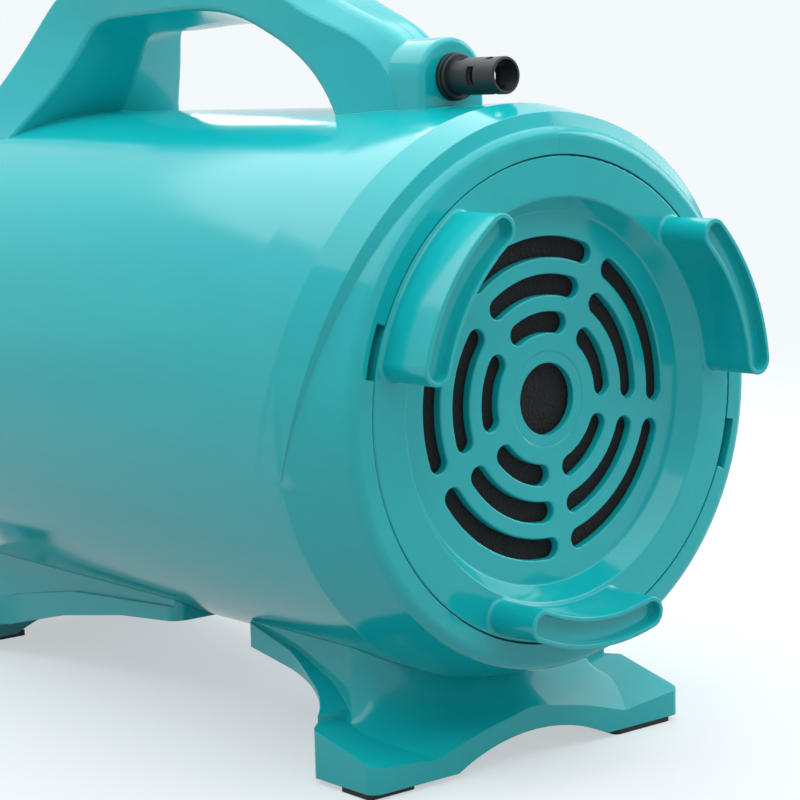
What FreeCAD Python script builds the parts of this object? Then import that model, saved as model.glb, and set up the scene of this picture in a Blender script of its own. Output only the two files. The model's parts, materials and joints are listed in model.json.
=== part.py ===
import FreeCAD, Part
import math
import os
from FreeCAD import Vector

# Pet dryer, in millimetres. While it is built, the barrel's axis is the X axis, the seam between the
# intake cover and the casing rim lies at x = 0, the air flows towards -X, -Y is the left side, +Z is up.
# The saved pieces stand on the floor: z = 0 under the foot pads, and x = 0 half way along the dryer.

# Driving dimensions of the casing
barrel_radius = 95.0
barrel_length = 335.0
casing_wall = 3.0
ground_clearance = 27.0
tail_length = 28.0
rim_step = 7.8
rim_rounding = 4.2
rim_band = 8.1
nose_taper_length = 27.0
nose_step = 11.0
nose_length = 50.0

# The visor: the band of the barrel that overhangs the tail on its upper part
visor_lift = 0.5
visor_drop = 3.0
visor_band = 13.8
visor_overhang = 4.5
visor_sweep = 0.0019
visor_end_angle = -13.0

# Intake cover
cover_gap = 0.45
cover_plate = 3.2
cover_recess = 7.0
cover_ring = 13.5
recess_slope = 4.6
centre_hole_radius = 11.8
slot_row_count = 3
slot_row_pitch = 12.2
slot_row_inset = 11.6
slot_width = 6.8
spoke_width = 6.4
spoke_count = 5
first_spoke_angle = -10.0
post_count = 3
first_post_angle = 26.0
post_height = 20.5
post_inset = 7.0
post_width = 10.4
post_half_angle = 19.4
post_rim = 1.5
post_pocket = 3.0
skirt_wall = 2.4
skirt_length = 26.0
lug_angle = 10.5
lug_height = 3.2
lug_thickness = 3.0
lug_depth = 4.6
notch_angle = 163.6
notch_span = 12.2
twist_angle = 22.0
foam_thickness = 10.0
grid_thickness = 2.4

# Handle and cord boss
handle_half_width = 21.3
handle_wall = 3.0
boss_half_width = 14.0
boss_rise = 22.6
boss_rear = -50.0
cord_rise = 9.4
relief_radius = 6.15
relief_bore = 3.9
relief_nose_ease = 0.3
relief_grip = 5.2
relief_length = 22.5
relief_collar_radius = 7.95

# Feet and pads
foot_half_width = 70.0
foot_leg_length = 29.4
foot_flange_half_width = 50.0
foot_edge_height = 8.9
foot_arch_height = 8.1
foot_arch_half_width = 34.0
foot_slope = 0.245
rear_foot_wall = -15.6
rear_foot_length = 91.4
front_foot_inset = 9.0
front_foot_length = 174.0
pad_thickness = 2.0

# Outlet
outlet_bore = 22.5
outlet_spigot_radius = 26.0
outlet_spigot_length = 26.0
collar_wall = 6.0
collar_flange_radius = 33.0

# Motor, rotor and blower
motor_radius = 70.0
motor_can_wall = 1.4
motor_rear = -56.0
can_length = 52.0
impeller_radius = 65.0
impeller_width = 11.0
blade_count = 8
blade_thickness = 1.2
shaft_radius = 4.0
shaft_clearance = 0.03
rotor_radius = 26.0
air_gap = 0.6
stator_radius = 46.0
stator_post_gap = 6.0
stator_post_radius = 3.5
stator_length = 36.0
bearing_radius = 11.0
bearing_width = 8.0
commutator_radius = 14.0
brush_gap = 0.3
ring_gap = 0.25
ring_width = 8.0
ring_thickness = 5.5
liner_rear = -74.0
liner_length = 110.0
liner_gap = 1.5

# Heater
heater_rear = -222.0
heater_length = 78.0
heater_radius = 60.0
coil_radius = 42.0
coil_wire = 2.6
coil_count = 5

# Controls
panel_thickness = 2.4
knob_radius = 12.5
knob_height = 13.0
knob_gap = 0.6
rocker_width = 9.0
rocker_length = 13.5
rocker_angle = 20.0

# Fasteners
screw_radius = 1.9
screw_head_radius = 3.4
screw_head_height = 2.4
post_boss_radius = 5.6
post_boss_inset = 10.5
foot_boss_radius = 4.6
foot_boss_height = 9.0
foot_screw_length = 12.0

# Sizes that follow from them
axis_height = barrel_radius + ground_clearance
rim_radius = barrel_radius - rim_step
seam_radius = rim_radius - rim_band
nose_radius = barrel_radius - nose_step
recess_outer_radius = seam_radius - cover_ring
recess_inner_radius = recess_outer_radius - recess_slope
outer_slot_row = recess_inner_radius - slot_row_inset
slot_rows = [outer_slot_row - slot_row_pitch * number for number in range(slot_row_count)]
post_radius = seam_radius - post_inset
boss_top = barrel_radius + boss_rise
cord_height = barrel_radius + cord_rise
tail_wall = barrel_radius - casing_wall
front_x = -barrel_length
nose_x = front_x - nose_taper_length
front_foot_wall = front_x + front_foot_inset
keel = -barrel_radius
shift_x = (barrel_length + nose_length + outlet_spigot_length - post_height) / 2

# Places along the motor, from the rear (intake) end forwards
can_front = motor_rear - can_length
first_stage_rear = motor_rear - 5.0
diffuser_rear = first_stage_rear - impeller_width - 5.0
diffuser_width = 6.0
second_stage_rear = diffuser_rear - diffuser_width - 3.0
frame_rear = can_front
frame_width = 8.0
stator_rear = frame_rear - frame_width - 12.0
stator_front = stator_rear - stator_length
commutator_rear = stator_front - 11.0
commutator_length = 12.0
bracket_rear = commutator_rear - commutator_length - 4.0
bracket_width = 10.0
bracket_front = bracket_rear - bracket_width
bearing_rear_x = frame_rear - 0.5 - bearing_width
bearing_front_x = bracket_rear - 0.5 - bearing_width
shaft_front = bracket_front + 1.0
shaft_rear = motor_rear - 2.0
ring_seats = [motor_rear + 3.0, bracket_front - 0.5]
stator_post_circle = stator_radius + stator_post_gap
os.makedirs("parts", exist_ok=True)


def save(name, shape):
    placed = shape.copy()
    placed.translate(Vector(shift_x, 0, axis_height))
    placed.exportStep("parts/" + name + ".step")


def outline(corners, place):
    """A closed wire through corners (u, v) or (u, v, radius), each put in space by place(u, v)."""
    count = len(corners)
    runs = []
    for number, corner in enumerate(corners):
        here = Vector(corner[0], corner[1], 0)
        radius = corner[2] if len(corner) > 2 else 0
        if radius == 0:
            runs.append((here, None, here))
            continue
        before = Vector(*corners[number - 1][:2], 0) - here
        after = Vector(*corners[(number + 1) % count][:2], 0) - here
        before.normalize()
        after.normalize()
        half = before.getAngle(after) / 2
        inward = before + after
        inward.normalize()
        middle = here + inward * (radius / math.sin(half) - radius)
        reach = radius / math.tan(half)
        runs.append((here + before * reach, middle, here + after * reach))
    edges = []
    for number in range(count):
        start, middle, end = runs[number]
        if middle is not None:
            arc = Part.Arc(place(start.x, start.y), place(middle.x, middle.y), place(end.x, end.y))
            edges.append(arc.toShape())
        following = runs[(number + 1) % count][0]
        if (following - end).Length > 1e-6:
            edges.append(Part.LineSegment(place(end.x, end.y), place(following.x, following.y)).toShape())
    return Part.Wire(edges)


def turned(corners):
    """A solid turned about the X axis from corners (x, r)."""
    wire = outline(corners, lambda x, r: Vector(x, 0, r))
    return Part.Face(wire).revolve(Vector(0, 0, 0), Vector(1, 0, 0), 360)


def along_x(corners, x0, x1):
    """A prism along X from corners (y, z)."""
    wire = outline(corners, lambda y, z: Vector(x0, y, z))
    return Part.Face(wire).extrude(Vector(x1 - x0, 0, 0))


def along_y(corners, y0, y1):
    """A prism along Y from corners (x, z)."""
    wire = outline(corners, lambda x, z: Vector(x, y0, z))
    return Part.Face(wire).extrude(Vector(0, y1 - y0, 0))


def along_z(corners, z0, z1):
    """A prism along Z from corners (x, y)."""
    wire = outline(corners, lambda x, y: Vector(x, y, z0))
    return Part.Face(wire).extrude(Vector(0, 0, z1 - z0))


def rod(x0, x1, radius, y=0.0, z=0.0):
    return Part.makeCylinder(radius, abs(x1 - x0), Vector(min(x0, x1), y, z), Vector(1, 0, 0))


def ring(x0, x1, outer, inner):
    bore = rod(min(x0, x1) - 1, max(x0, x1) + 1, inner)
    return rod(x0, x1, outer).cut(bore)


def block(x0, x1, y0, y1, z0, z1):
    return Part.makeBox(x1 - x0, y1 - y0, z1 - z0, Vector(x0, y0, z0))


def rod_y(x, z, y0, y1, radius):
    return Part.makeCylinder(radius, y1 - y0, Vector(x, y0, z), Vector(0, 1, 0))


def rod_z(x, y, z0, z1, radius):
    return Part.makeCylinder(radius, z1 - z0, Vector(x, y, z0), Vector(0, 0, 1))


def joined(shapes):
    return shapes[0].fuse(list(shapes[1:])).removeSplitter()


def turned_copies(shape, count, first=0.0, step=None):
    """Copies of a shape round the X axis; angles run from +Y towards +Z."""
    step = 360.0 / count if step is None else step
    copies = []
    for number in range(count):
        copy = shape.copy()
        copy.rotate(Vector(0, 0, 0), Vector(1, 0, 0), first + number * step)
        copies.append(copy)
    return copies


def around(radius, angle):
    """The point (y, z) at a radius and an angle in degrees from +Y towards +Z."""
    return radius * math.cos(math.radians(angle)), radius * math.sin(math.radians(angle))


def wedge(span):
    """A wide sector about the X axis, centred on +Y."""
    reach = 2 * barrel_radius
    return along_x([(0, 0), around(reach, -span / 2), around(reach, span / 2)], -30, 30)


def casing_bottom(y, radius):
    """The height of the barrel's underside at a distance from the mid-plane."""
    return -math.sqrt(radius ** 2 - y ** 2)


def arc_slot(radius, width, start, end, x0, x1):
    """A slot along an arc with full-round ends, from start to end in degrees at its very tips."""
    trim = math.degrees(width / 2 / radius)
    first = start + trim
    last = end - trim
    inner = radius - width / 2
    outer = radius + width / 2

    def at(r, angle):
        y, z = around(r, angle)
        return Vector(x0, y, z)

    def cap(angle, side):
        tip = angle + side * math.degrees(width / 2 / radius)
        return at(radius, tip)

    middle = (first + last) / 2
    edges = [
        Part.Arc(at(outer, first), at(outer, middle), at(outer, last)).toShape(),
        Part.Arc(at(outer, last), cap(last, 1), at(inner, last)).toShape(),
        Part.Arc(at(inner, last), at(inner, middle), at(inner, first)).toShape(),
        Part.Arc(at(inner, first), cap(first, -1), at(outer, first)).toShape(),
    ]
    return Part.Face(Part.Wire(edges)).extrude(Vector(x1 - x0, 0, 0))


# Casing: barrel, visor, handle and cord boss

def barrel_body():
    return turned([
        (0, 0),
        (0, rim_radius, rim_rounding),
        (-tail_length, barrel_radius, 3),
        (front_x, barrel_radius, 12),
        (nose_x, nose_radius, 4),
        (nose_x, 0),
    ])


def visor_section(angle):
    """The visor's section in the half plane at an angle above the left side, up to the top at 90."""
    rise = max(0.0, (angle - visor_end_angle) / (90.0 - visor_end_angle))
    height = (barrel_radius - 2) * math.sin(math.radians(angle))
    rear = -visor_overhang - visor_sweep * (barrel_radius - 2 - height) ** 2
    crest = barrel_radius + 0.05 + (visor_lift - 0.05) * min(1.0, rise / 0.3)
    if angle < visor_end_angle:
        crest = barrel_radius - 0.3
    edge = crest - visor_drop * math.sin(math.pi / 2 * min(1.0, rise / 0.4))
    foot = rim_radius - 1.7
    root = -90
    return [
        (root, barrel_radius - 0.7),
        (rear - visor_band, crest),
        (rear, edge),
        (rear + 3.0, foot),
        (root, foot),
    ]


def visor():
    """A ring sector lofted over the top, from the kink on one side to the kink on the other."""
    half = [-17.0, visor_end_angle, -6.0, 2.0, 10.0, 20.0, 32.0, 46.0, 60.0, 75.0]
    stations = [(angle, angle) for angle in half] + [(90.0, 90.0)]
    stations += [(180.0 - angle, angle) for angle in reversed(half)]
    sections = []
    for place_angle, shape_angle in stations:
        y, z = around(1.0, place_angle)
        points = [Vector(x, r * y, r * z) for x, r in visor_section(shape_angle)]
        sections.append(Part.makePolygon(points + points[:1]))
    return Part.makeLoft(sections, True, False)


# Stations of the handle from its rear root over the arch to its front root, each with the inner line
# (x, height), the outer edge line (x, height), the half widths on both, the crown's height, the height of
# the ridge along the underside and its rounding. Heights count from the barrel's top.
handle_stations = [
    (-80.0, -19.0, -60.0, -19.0, 26.0, 17.0, 8.0, 1.0, 4),
    (-87.0, -4.0, -63.0, -2.5, 22.5, 15.0, 8.5, 2.0, 8),
    (-94.0, 5.5, -71.0, 15.5, 21.5, 15.0, 7.0, 2.5, 12),
    (-108.7, 18.2, -98.0, 30.0, 21.3, 18.5, 6.0, 3.5, 20),
    (-135.0, 30.6, -129.0, 44.0, 21.3, 20.0, 6.5, 5.5, 26),
    (-172.0, 36.4, -172.0, 51.5, 21.3, 20.3, 7.5, 6.5, 26),
    (-208.0, 35.6, -212.0, 51.8, 21.3, 20.5, 7.0, 6.5, 14),
    (-235.4, 32.6, -255.0, 48.5, 21.3, 21.0, 4.0, 6.5, 4),
    (-246.0, 19.0, -276.5, 29.5, 26.0, 26.0, 2.5, 7.5, 4),
    (-258.5, 3.5, -291.0, 11.0, 33.0, 33.5, 2.0, 8.0, 4),
    (-270.0, -11.0, -302.0, -8.0, 43.0, 43.0, 2.0, 8.0, 4),
    (-277.0, -21.0, -308.0, -20.0, 50.0, 50.0, 2.0, 8.0, 4),
]


def handle_section(station, inset):
    inner_x, inner_z, edge_x, edge_z, inner_half, edge_half, crown, ridge, ridge_radius = station
    across = Vector(edge_x - inner_x, 0, edge_z - inner_z)
    height = across.Length
    across.normalize()
    origin = Vector(inner_x, 0, barrel_radius + inner_z)
    inner_half -= inset
    edge_half -= inset
    top = height + crown - inset
    corners = [
        (-inner_half, inset, 2.2),
        (0, inset - ridge, ridge_radius),
        (inner_half, inset, 2.2),
        (edge_half, height - inset * 0.6, 2.0),
        (edge_half * 0.48, top, 9.0),
        (-edge_half * 0.48, top, 9.0),
        (-edge_half, height - inset * 0.6, 2.0),
    ]
    return outline(corners, lambda y, h: origin + across * h + Vector(0, y, 0))


def handle_body(inset):
    return Part.makeLoft([handle_section(station, inset) for station in handle_stations], True, False)


boss_front = -88.0


def boss_body(half_width, top, rear):
    """The round-topped boss round the cord, from its rear face into the handle's root."""
    root = barrel_radius - 11.0
    return along_x([
        (-half_width, root),
        (-half_width, top, half_width * 0.998),
        (half_width, top, half_width * 0.998),
        (half_width, root),
    ], boss_front, rear)


# The control panel lies on a plane across the front pillar of the handle.
panel_centre = Vector(-281.8, 0, barrel_radius + 21.2)
panel_slope = 53.5
panel_top_half_width = 16.5
panel_bottom_half_width = 22.5
panel_half_length = 23.0


def on_panel(up, across, out):
    """A point from the panel's centre: up its slope, across it towards +Y, and out of its face."""
    slope = math.radians(panel_slope)
    up_way = Vector(math.cos(slope), 0, math.sin(slope))
    out_way = Vector(-math.sin(slope), 0, math.cos(slope))
    return panel_centre + up_way * up + out_way * out + Vector(0, across, 0)


def panel_prism(corners, depth, height):
    """A prism on the panel from corners (across, up), from depth to height along its normal."""
    wire = outline(corners, lambda across, up: on_panel(up, across, depth))
    way = on_panel(0, 0, 1) - on_panel(0, 0, 0)
    return Part.Face(wire).extrude(way * (height - depth))


def panel_rod(up, across, depth, height, radius):
    way = on_panel(0, 0, 1) - on_panel(0, 0, 0)
    return Part.makeCylinder(radius, height - depth, on_panel(up, across, depth), way)


def panel_corners(gap):
    half = panel_half_length - gap
    return [
        (-panel_bottom_half_width + gap, -half, 4),
        (panel_bottom_half_width - gap, -half, 4),
        (panel_top_half_width - gap, half, 5),
        (-panel_top_half_width + gap, half, 5),
    ]


def panel_flat():
    """What the flat takes off the pillar's front."""
    return panel_prism([(-60, -60), (60, -60), (60, 40), (-60, 40)], 0.0, 30.0)


def panel_seat():
    """The panel's recess in the flat and the opening behind it."""
    recess = panel_prism(panel_corners(0), -panel_thickness, 5.0)
    opening = panel_prism(panel_corners(2.0), -20.0, 0.0)
    return [recess, opening]


# Screw posts across the parting plane, each (x, z)
post_height_z = barrel_radius - post_boss_inset
post_places = [(x, -post_height_z) for x in (-44, -120, -191, front_x + 17)]
post_places += [(x, post_height_z) for x in (-110, -191, front_x + 13)]
handle_post_places = [(-150, barrel_radius + 45.5), (-215, barrel_radius + 45.5)]


def foot_screw_places(wall, way, length):
    """Two screws in the web behind the end wall and two in the ears of the flange."""
    places = []
    for along, across in ((22.0, 20.0), (length - 14.0, 41.0)):
        places += [(wall + way * along, -across), (wall + way * along, across)]
    return places


rear_foot_screws = foot_screw_places(rear_foot_wall, -1, rear_foot_length)
front_foot_screws = foot_screw_places(front_foot_wall, 1, front_foot_length)
all_foot_screws = rear_foot_screws + front_foot_screws

rib_gap = 0.2
rib_thickness = 2.3
rib_height = 12.0
nose_bush_radius = bearing_radius + 8.0
clamp_x = -70.0
clamp_screw_offset = 5.4
clamp_screw_radius = 1.4
clamp_face = -0.9


def foot_boss_top(y):
    return casing_bottom(y, tail_wall) + foot_boss_height


def boss_shape():
    """The cord boss with its rear rim rounded."""
    boss = boss_body(boss_half_width, boss_top, boss_rear)
    rim = []
    for edge in boss.Edges:
        box = edge.BoundBox
        on_rear = abs(box.XMin - boss_rear) < 0.01 and abs(box.XMax - boss_rear) < 0.01
        if on_rear and box.ZMax > barrel_radius - 9.0:
            rim.append(edge)
    return boss.makeFillet(2.2, rim)


def casing_hollow():
    """The room inside the barrel, from the cover's seam to the nose cap's seat."""
    groove_front = -lug_depth - lug_thickness - 0.6
    cavity = turned([
        (-30, 0),
        (-30, tail_wall),
        (front_x, tail_wall, 10),
        (nose_x + 4.5, nose_radius - 4.5),
        (nose_x + 4.5, 0),
    ])
    rear_bore = rod(-31, 1, seam_radius)
    lug_groove = rod(groove_front, -lug_depth + 0.5, seam_radius + lug_height + 0.5)
    rear_room = turned([(-31, 0), (-31, tail_wall - 1), (-12, seam_radius + 5.5), (-12, 0)])
    front_bore = rod(nose_x - 1, nose_x + 6, nose_radius - 6.0)
    return cavity.fuse([rear_bore, lug_groove, rear_room, front_bore])


def bayonet_notches():
    notch = ring(-lug_depth - 1, 1, seam_radius + lug_height, seam_radius - 2)
    return turned_copies(notch.common(wedge(notch_span)), 2, notch_angle)


def bayonet_stops():
    """Two blocks in the lug groove that end the cover's twist."""
    groove_front = -lug_depth - lug_thickness - 0.6
    stop = ring(groove_front - 0.5, -lug_depth + 1.0, seam_radius + lug_height + 1.5, seam_radius + 0.6)
    return turned_copies(stop.common(wedge(3.0)), 2, notch_angle - twist_angle - lug_angle / 2 - 2.0)


def clamp_pegs():
    """Two pegs on the left half that carry the cord clamp."""
    return [rod_y(clamp_x, cord_height + offset, -handle_half_width, clamp_face, 2.4)
            for offset in (-clamp_screw_offset, clamp_screw_offset)]


def casing_shell():
    outside = barrel_body().fuse([visor(), handle_body(0.0).cut(panel_flat()), boss_shape()])
    shell = outside.cut(casing_hollow())
    ribs = []
    for x in ring_seats:
        front = x - ring_width - rib_gap
        ribs.append(ring(front - rib_thickness, front, tail_wall + 1, tail_wall - rib_height))
        ribs.append(ring(x + rib_gap, x + rib_gap + rib_thickness, tail_wall + 1, tail_wall - rib_height))
    shell = shell.fuse(ribs)
    boss_room = boss_body(boss_half_width - casing_wall, boss_top - casing_wall, boss_rear - casing_wall)
    shell = shell.cut([handle_body(handle_wall), boss_room] + bayonet_notches())
    inside = rod(-30, front_x, tail_wall + 1)
    posts = [rod_y(x, z, -barrel_radius, barrel_radius, post_boss_radius).common(inside)
             for x, z in post_places]
    post_reach = handle_half_width - 2
    posts += [rod_y(x, z, -post_reach, post_reach, 4.0) for x, z in handle_post_places]
    posts += [rod_z(x, y, keel, foot_boss_top(y), foot_boss_radius).common(inside)
              for x, y in all_foot_screws]
    pegs = [peg.common(outside) for peg in clamp_pegs()]
    shell = shell.fuse(posts + pegs + bayonet_stops())
    flange_room = ring(nose_x + 4.5, nose_x + 8.2, nose_radius - 2.2, nose_radius - 24.0)
    relief_hole = rod(boss_rear - casing_wall - 1, boss_rear + 1, relief_radius + 0.1, 0, cord_height)
    cuts = panel_seat() + [relief_hole, flange_room]
    for x, y in all_foot_screws:
        cuts.append(rod_z(x, y, keel - 1, foot_boss_top(y) - 1.0, screw_radius - 0.3))
    for offset in (-clamp_screw_offset, clamp_screw_offset):
        cuts.append(rod_y(clamp_x, cord_height + offset, -9.0, 1.0, clamp_screw_radius - 0.2))
    return shell.cut(cuts)


def housing_screw_cuts():
    """Wells from the right side, clearance holes in the right half and pilot holes in the left one."""
    wells = []
    for x, z in post_places:
        wells.append(rod_y(x, z, 12, 90, screw_head_radius + 0.3))
        wells.append(rod_y(x, z, -14, 13, screw_radius + 0.1))
    for x, z in handle_post_places:
        wells.append(rod_y(x, z, 8, 60, screw_head_radius - 0.2))
        wells.append(rod_y(x, z, -10, 9, screw_radius - 0.3))
    return wells


def housing_screws():
    screws = []
    for x, z in post_places:
        shank = rod_y(x, z, -13, 12, screw_radius)
        head = rod_y(x, z, 12, 12 + screw_head_height, screw_head_radius)
        socket = block(x - 2.2, x + 2.2, 12 + 1.2, 16, z - 0.45, z + 0.45)
        cross = block(x - 0.45, x + 0.45, 12 + 1.2, 16, z - 2.2, z + 2.2)
        screws.append(shank.fuse(head).cut([socket, cross]))
    for x, z in handle_post_places:
        shank = rod_y(x, z, -9, 8, screw_radius - 0.4)
        head = rod_y(x, z, 8, 8 + screw_head_height, screw_head_radius - 0.6)
        socket = block(x - 1.8, x + 1.8, 8 + 1.2, 12, z - 0.4, z + 0.4)
        screws.append(shank.fuse(head).cut(socket))
    return Part.makeCompound(screws)


# Intake cover with its foam and grid

cover_radius = seam_radius - cover_gap
plate_front = -cover_recess - cover_plate
foam_rear = plate_front - 0.2
foam_front = foam_rear - foam_thickness
grid_rear = foam_front - 0.2
skirt_radius = recess_inner_radius + 3.0


def grille_slots(x0, x1):
    slots = []
    sector = 360.0 / spoke_count
    for radius in slot_rows:
        margin = math.degrees(spoke_width / 2 / radius)
        for number in range(spoke_count):
            start = first_spoke_angle + number * sector + margin
            slots.append(arc_slot(radius, slot_width, start, start + sector - 2 * margin, x0, x1))
    return slots


def intake_cover():
    disc = turned([
        (0, cover_radius, 0.5),
        (0, recess_outer_radius, 0.8),
        (-cover_recess, recess_inner_radius, 0.8),
        (-cover_recess, 15.9),
        (-cover_recess - 0.25, 15.6),
        (-cover_recess - 0.25, centre_hole_radius, 0.2),
        (plate_front, centre_hole_radius, 0.6),
        (plate_front, skirt_radius),
        (-skirt_length, skirt_radius),
        (-skirt_length, skirt_radius + skirt_wall),
        (plate_front + 2.0, skirt_radius + skirt_wall, 2),
        (-3.0, recess_outer_radius + 3.5, 2),
        (-3.0, cover_radius - skirt_wall),
        (-lug_depth - lug_thickness, cover_radius - skirt_wall),
        (-lug_depth - lug_thickness, cover_radius),
    ])
    disc = disc.cut(grille_slots(plate_front - 1, -cover_recess + 1))
    front_edges = []
    for edge in disc.Edges:
        box = edge.BoundBox
        if abs(box.XMax + cover_recess) < 0.001 and abs(box.XMin + cover_recess) < 0.001:
            if box.DiagonalLength < 2 * recess_inner_radius and edge.Length < 90:
                front_edges.append(edge)
    disc = disc.makeFillet(0.7, front_edges)
    span = 2 * post_half_angle + 2 * math.degrees(post_width / 2 / post_radius)
    post = arc_slot(post_radius, post_width, -span / 2, span / 2, -1.5, post_height)
    end_edges = [edge for edge in post.Edges if edge.BoundBox.XMin > post_height - 0.01]
    post = post.makeFillet(0.5, end_edges)
    trim = 2 * math.degrees(post_rim / post_radius)
    pocket = arc_slot(post_radius, post_width - 2 * post_rim, -span / 2 + trim / 2, span / 2 - trim / 2,
                      post_height - post_pocket, post_height + 1)
    posts = turned_copies(post, post_count, first_post_angle)
    pockets = turned_copies(pocket, post_count, first_post_angle)
    lug = ring(-lug_depth - lug_thickness, -lug_depth, seam_radius + lug_height - 0.3, cover_radius - 1)
    lugs = turned_copies(lug.common(wedge(lug_angle)), 2, notch_angle - twist_angle)
    cover = disc.fuse(posts + lugs)
    base_edges = []
    for edge in cover.Edges:
        box = edge.BoundBox
        middle = edge.valueAt((edge.FirstParameter + edge.LastParameter) / 2)
        radius = math.hypot(middle.y, middle.z)
        if abs(box.XMax) < 0.001 and abs(box.XMin) < 0.001 and post_radius - 6 < radius < post_radius + 6:
            base_edges.append(edge)
    cover = cover.makeFillet(1.2, base_edges)
    return cover.cut(pockets)


def filter_foam():
    return rod(foam_front, foam_rear, skirt_radius - 0.6)


def filter_grid():
    """A ring with a hub and cross bars that snaps into the cover's skirt behind the foam."""
    half_bar = 1.1
    front = grid_rear - grid_thickness
    outer = ring(front, grid_rear, skirt_radius - 0.3, skirt_radius - 4.5)
    rings = [ring(front, grid_rear, radius + half_bar, radius - half_bar) for radius in (14, 30, 46)]
    bar = block(front, grid_rear, -skirt_radius + 2, skirt_radius - 2, -half_bar, half_bar)
    return joined([outer] + rings + turned_copies(bar, 4, 0, 45))


# Nose cap, outlet collar and outlet guard

cap_rear = nose_x + 8.0
spigot_front = -(barrel_length + nose_length + outlet_spigot_length)
cap_front = -(barrel_length + nose_length)


def nose_cap():
    bore = outlet_bore + collar_wall
    return turned([
        (cap_rear, nose_radius - 2.6),
        (nose_x + 4.7, nose_radius - 2.6),
        (nose_x + 4.7, nose_radius - 6.4),
        (nose_x - 1.5, nose_radius - 6.4, 2.5),
        (nose_x - 9.0, nose_radius - 22.0, 26),
        (cap_front + 5.0, collar_flange_radius + 6.0, 6),
        (cap_front, collar_flange_radius + 2.5, 1.5),
        (cap_front, bore),
        (cap_front + 6.0, bore, 1),
        (cap_front + 10.0, collar_flange_radius + 7.0, 6),
        (nose_x - 5.0, nose_radius - 23.0, 20),
        (nose_x + 2.5, nose_radius - 10.0, 2),
        (cap_rear, nose_radius - 10.0),
    ])


def outlet_collar():
    """A spigot that the hose's cuff is pushed on, screwed into the nose cap's bore."""
    bore = outlet_bore + collar_wall
    return turned([
        (spigot_front, outlet_spigot_radius, 0.8),
        (cap_front - 3.5, outlet_spigot_radius),
        (cap_front - 3.5, collar_flange_radius, 0.8),
        (cap_front - 0.1, collar_flange_radius),
        (cap_front - 0.1, bore - 0.15),
        (cap_front + 9.0, bore - 0.15, 0.6),
        (cap_front + 9.0, outlet_bore),
        (spigot_front, outlet_bore, 0.6),
    ])


def outlet_guard():
    """A pressed steel guard across the collar's bore."""
    rear = cap_front + 7.0
    outer = ring(rear - 1.2, rear, outlet_bore - 0.1, outlet_bore - 2.4)
    middle = ring(rear - 1.2, rear, 11.0, 9.2)
    bar = block(rear - 1.2, rear, -outlet_bore + 1, outlet_bore - 1, -0.9, 0.9)
    return joined([outer, middle] + turned_copies(bar, 3, 30, 60))


# Feet

floor = -axis_height + pad_thickness
foot_top = floor + foot_edge_height

# The foot's top line and underside seen from the side, as (distance from the end wall, z, rounding)
leg_top_end = foot_top + foot_slope * foot_leg_length
rear_foot_top = [
    (foot_leg_length, leg_top_end, 6),
    (43.0, keel, 22),
    (66.0, keel + 8.0, 40),
    (rear_foot_length, keel + 13.2),
]
rear_foot_under = [
    (rear_foot_length, keel + 4.6),
    (foot_leg_length + 1.8, keel - 2.0, 22),
]
front_foot_top = [
    (foot_leg_length, leg_top_end, 20),
    (60.0, keel - 1.0, 60),
    (105.0, keel + 7.0, 100),
    (front_foot_length, keel + 11.2),
]
front_foot_under = [
    (front_foot_length, keel + 5.8),
    (138.0, keel + 2.8, 60),
    (98.0, keel - 3.5, 80),
    (60.0, keel - 13.0, 30),
    (foot_leg_length + 1.8, keel - 17.0, 4),
]

# The web's plan at seven heights: (z, half width, distance of its corners and of its ridge from the wall)
web_levels = [
    (keel + 17.0, 49.6, 31.0, 17.0),
    (keel + 3.0, 49.9, 29.5, 11.5),
    (keel - 5.0, 52.0, 27.5, 4.0),
    (keel - 9.8, 54.5, 24.5, -3.5),
    (floor + 12.5, 58.0, 21.5, -12.0),
    (floor + 9.0, 63.5, 16.5, -19.0),
    (floor + 5.5, 71.0, 10.0, -26.0),
]


def cradle():
    """The casing's own outline, taken out of the feet."""
    return turned([
        (0, 0),
        (0, rim_radius, rim_rounding),
        (-tail_length, barrel_radius),
        (front_x, barrel_radius, 12),
        (nose_x, nose_radius, 4),
        (nose_x, 0),
    ])


def foot_plan(at, length, end_rounding):
    """The foot seen from above: two legs that draw in to a narrower flange."""
    half_plan = [
        (0, -foot_half_width, 4),
        (foot_leg_length, -foot_half_width - 0.5, 2.5),
        (foot_leg_length + 8.5, -foot_flange_half_width - 10.0, 20),
        (foot_leg_length + 32.0, -foot_flange_half_width - 2.5, 60),
        (length, -foot_flange_half_width, end_rounding),
    ]
    half_plan += [(u, -y, radius) for u, y, radius in reversed(half_plan)]
    return along_z([(at(u), y, radius) for u, y, radius in half_plan], floor - 1, keel + 35)


def over_the_legs(at, way):
    """The space above the two legs, whose tops rise along the foot and dip towards the middle."""
    lead = 5.0
    section = outline([
        (-90, foot_top + 2.0),
        (-43, foot_top - 2.4, 14),
        (43, foot_top - 2.4, 14),
        (90, foot_top + 2.0),
        (90, keel + 35),
        (-90, keel + 35),
    ], lambda y, z: Vector(at(-lead), y, z - lead * foot_slope))
    run = foot_leg_length + 9.0
    return Part.Face(section).extrude(Vector(way * run, 0, run * foot_slope))


def foot_web(at, length):
    """The web between the legs, lofted through its plan at each height."""
    sections = []
    for height, half_width, corner, ridge in web_levels:
        sections.append(outline([
            (at(length + 2), -half_width),
            (at(corner), -half_width, 9),
            (at(ridge), 0, 14),
            (at(corner), half_width, 9),
            (at(length + 2), half_width),
        ], lambda x, y: Vector(x, y, height)))
    return Part.makeLoft(sections, True, False)


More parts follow.
